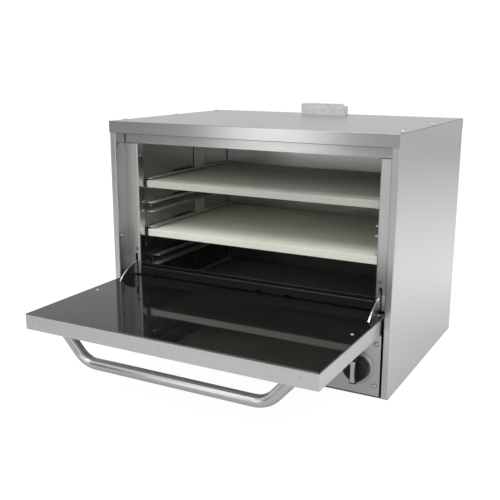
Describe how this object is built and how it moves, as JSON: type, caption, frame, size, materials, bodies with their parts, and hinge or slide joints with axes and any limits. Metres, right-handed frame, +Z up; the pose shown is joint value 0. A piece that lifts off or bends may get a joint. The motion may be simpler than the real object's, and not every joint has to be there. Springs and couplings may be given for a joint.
{
  "type": "countertop pizza oven",
  "caption": "Gas countertop pizza oven: folded steel cabinet, drop-down door with a tube handle, sliding stone decks on rails over a hearth, control knob and rear flue.",
  "frame": {"origin": "centre of the cabinet footprint, on the surface that the oven stands on", "axes": "+Z up, +Y from the door towards the back of the oven, +X to the right of a person facing the door"},
  "size_m": [0.7112, 0.8704, 0.5891],
  "materials": {
    "brushed_steel": "brushed stainless steel sheet with a fine straight grain",
    "polished_steel": "smooth polished stainless sheet with soft mirror reflections",
    "galvanised_steel": "galvanised sheet with a dull spangle",
    "zinc_screws": "bright zinc-plated steel",
    "deck_stone": "pale ivory cordierite, matt and fine-grained",
    "mineral_wool": "fibrous mineral wool slab",
    "cast_iron": "dark rough iron",
    "brass": "dull drawn brass",
    "cast_aluminium": "as-cast aluminium",
    "black_plastic": "satin black phenolic",
    "red_plastic": "satin red plastic",
    "satin_metal": "satin chrome"
  },
  "bodies": {
    "cabinet": {"side_panel_left": "brushed_steel", "side_panel_right": "brushed_steel", "top_cover": "brushed_steel", "front_lintel": "brushed_steel", "front_stile_left": "brushed_steel", "front_stile_right": "brushed_steel", "control_panel": "brushed_steel", "knob_bezel": "brushed_steel", "front_sill": "polished_steel", "cavity_wall_left": "polished_steel", "cavity_wall_right": "polished_steel", "cavity_back": "polished_steel", "cavity_ceiling": "polished_steel", "wall_post_left": "polished_steel", "wall_post_right": "polished_steel", "hearth_rail_left": "polished_steel", "hearth_rail_right": "polished_steel", "rail_1_left": "polished_steel", "rail_1_right": "polished_steel", "rail_2_left": "polished_steel", "rail_2_right": "polished_steel", "rail_3_left": "polished_steel", "rail_3_right": "polished_steel", "rail_4_left": "polished_steel", "rail_4_right": "polished_steel", "base_pan": "galvanised_steel", "back_panel": "galvanised_steel", "chamber_front": "galvanised_steel", "flue_duct": "galvanised_steel", "flue_deflector": "galvanised_steel", "gas_manifold": "galvanised_steel", "hinge_pin_left": "zinc_screws", "hinge_pin_right": "zinc_screws", "panel_screw_left_lower": "zinc_screws", "panel_screw_left_upper": "zinc_screws", "panel_screw_right_lower": "zinc_screws", "panel_screw_right_upper": "zinc_screws", "deck_hearth": "deck_stone", "insulation_left": "mineral_wool", "insulation_right": "mineral_wool", "insulation_top": "mineral_wool", "burner_left": "cast_iron", "burner_right": "cast_iron", "gas_inlet_pipe": "cast_iron", "thermostat_bulb": "brass", "thermostat_body": "cast_aluminium", "safety_valve": "cast_aluminium", "pilot_burner": "satin_metal"},
    "door": {"door_outer_skin": "brushed_steel", "door_liner": "polished_steel", "door_insulation": "mineral_wool", "hinge_arm_left": "polished_steel", "hinge_arm_right": "polished_steel", "door_handle": "brushed_steel"},
    "control_knob": {"knob": "black_plastic", "knob_pointer": "satin_metal", "thermostat_shaft": "satin_metal"},
    "sliding_deck_upper": {"deck_upper": "deck_stone"},
    "sliding_deck_middle": {"deck_middle": "deck_stone"},
    "gas_reset_button": {"reset_button": "red_plastic"}
  },
  "joints": [
    {"name": "door_hinge", "type": "hinge", "parent": "cabinet", "child": "door", "pos_m": [0, -0.2322, 0.17125], "axis": [-1, 0, 0], "range_deg": [0, 90]},
    {"name": "knob_turn", "type": "hinge", "parent": "cabinet", "child": "control_knob", "pos_m": [0.286, -0.26145, 0.061], "axis": [0, -1, 0], "range_deg": [0, 270]},
    {"name": "upper_deck_slide", "type": "slide", "parent": "cabinet", "child": "sliding_deck_upper", "axis": [0, 1, 0], "range_m": [-0.3, 0]},
    {"name": "middle_deck_slide", "type": "slide", "parent": "cabinet", "child": "sliding_deck_middle", "axis": [0, 1, 0], "range_m": [-0.3, 0]},
    {"name": "reset_button_push", "type": "slide", "parent": "cabinet", "child": "gas_reset_button", "axis": [1, 0, 0], "range_m": [0, 0.004], "stiffness_N_per_m": 400}
  ]
}
